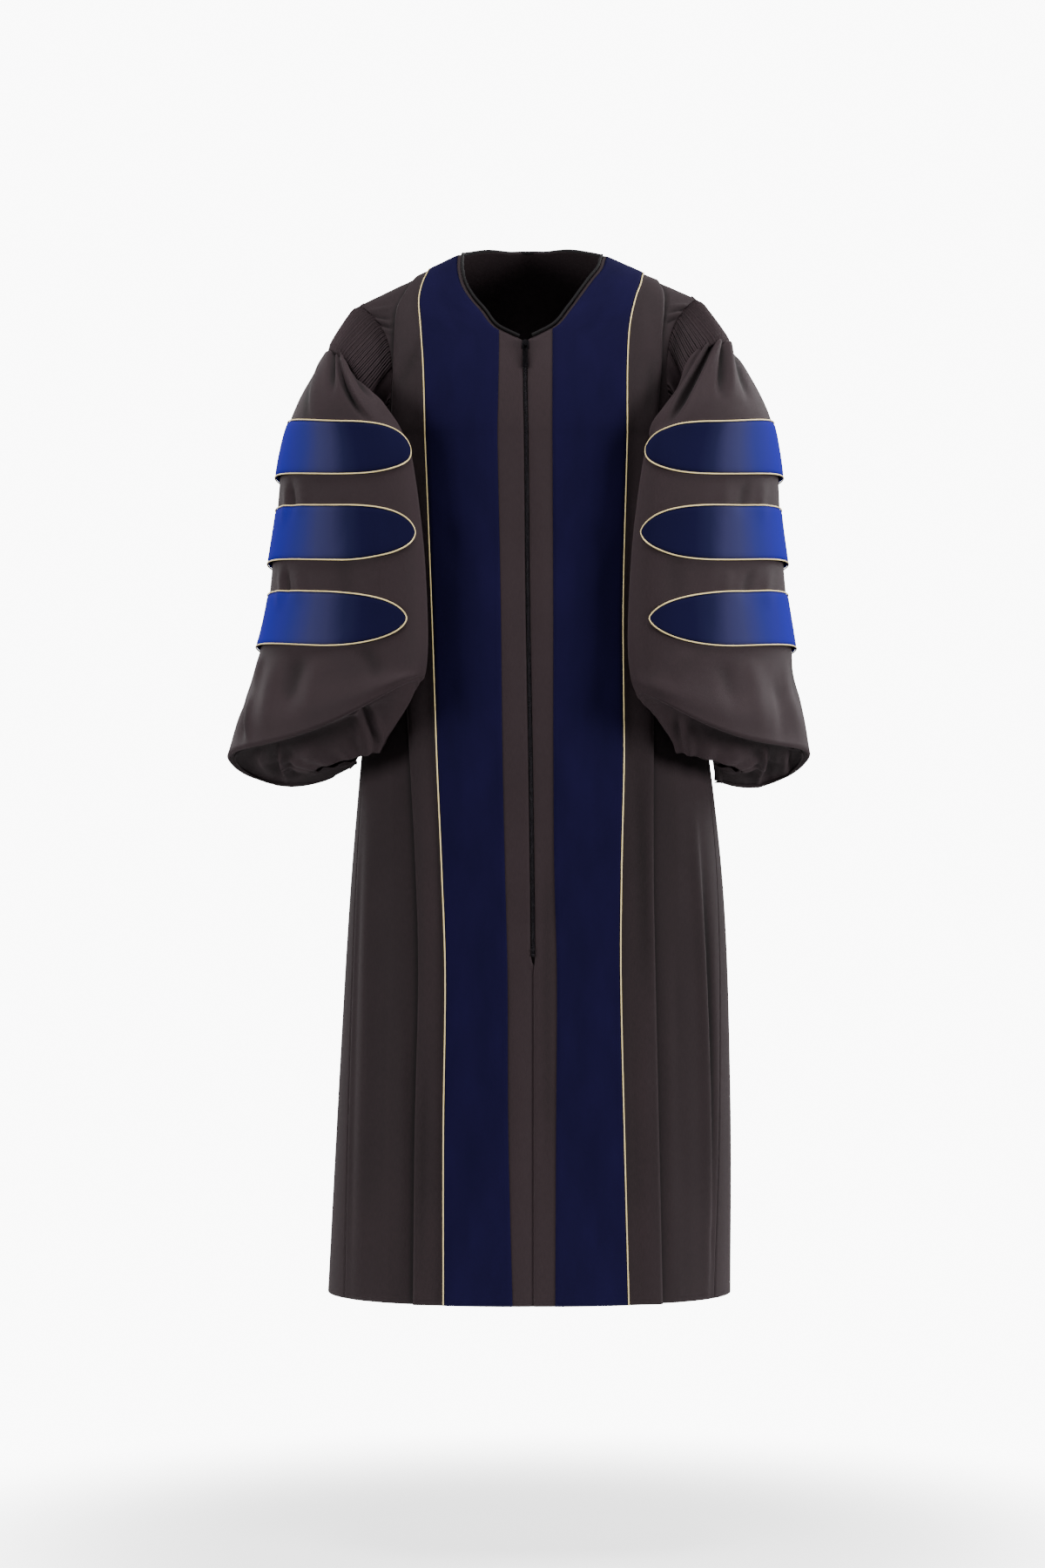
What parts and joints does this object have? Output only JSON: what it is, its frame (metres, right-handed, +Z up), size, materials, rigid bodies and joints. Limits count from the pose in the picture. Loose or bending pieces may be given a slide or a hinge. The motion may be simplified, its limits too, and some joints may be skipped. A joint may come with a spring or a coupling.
{
  "type": "graduation gown",
  "caption": "Doctoral graduation gown in worn, hollow form: zipped front with velvet facings, fluted sleeve heads and bell sleeves with velvet bars edged in gold cord.",
  "frame": {"origin": "in the neck opening between the shoulder-neck points, where the wearer's shoulders carry the gown", "axes": "+Z up, the front faces -Y, +X towards the wearer's left"},
  "size_m": [0.7095, 0.3659, 1.27],
  "materials": {
    "gown_cloth": "fine charcoal twill",
    "facing_velvet": "navy velvet",
    "bar_velvet": "blue velvet",
    "gold_cord": "metallic thread cord",
    "zip_tape": "woven black tape with moulded teeth",
    "zip_metal": "dark gunmetal"
  },
  "bodies": {
    "gown": {"back": "gown_cloth", "neck_binding": "gown_cloth", "front_right": "gown_cloth", "side_front_right": "gown_cloth", "sleeve_head_right": "gown_cloth", "sleeve_right": "gown_cloth", "front_left": "gown_cloth", "side_front_left": "gown_cloth", "sleeve_head_left": "gown_cloth", "sleeve_left": "gown_cloth", "facing_right": "facing_velvet", "facing_left": "facing_velvet", "bar_right_1": "bar_velvet", "bar_right_2": "bar_velvet", "bar_right_3": "bar_velvet", "bar_left_1": "bar_velvet", "bar_left_2": "bar_velvet", "bar_left_3": "bar_velvet", "facing_cord_right": "gold_cord", "facing_cord_left": "gold_cord", "bar_right_1_cord": "gold_cord", "bar_right_2_cord": "gold_cord", "bar_right_3_cord": "gold_cord", "bar_left_1_cord": "gold_cord", "bar_left_2_cord": "gold_cord", "bar_left_3_cord": "gold_cord", "zip_tape": "zip_tape", "zip_chain": "zip_tape", "zip_slider": "zip_metal"},
    "zip_pull": {"zip_pull": "zip_metal"}
  },
  "joints": [
    {"name": "pull_hinge", "type": "hinge", "parent": "gown", "child": "zip_pull", "pos_m": [-0.003, -0.11546, -0.12229], "axis": [-1, 0, 0], "range_deg": [0, 150]}
  ]
}
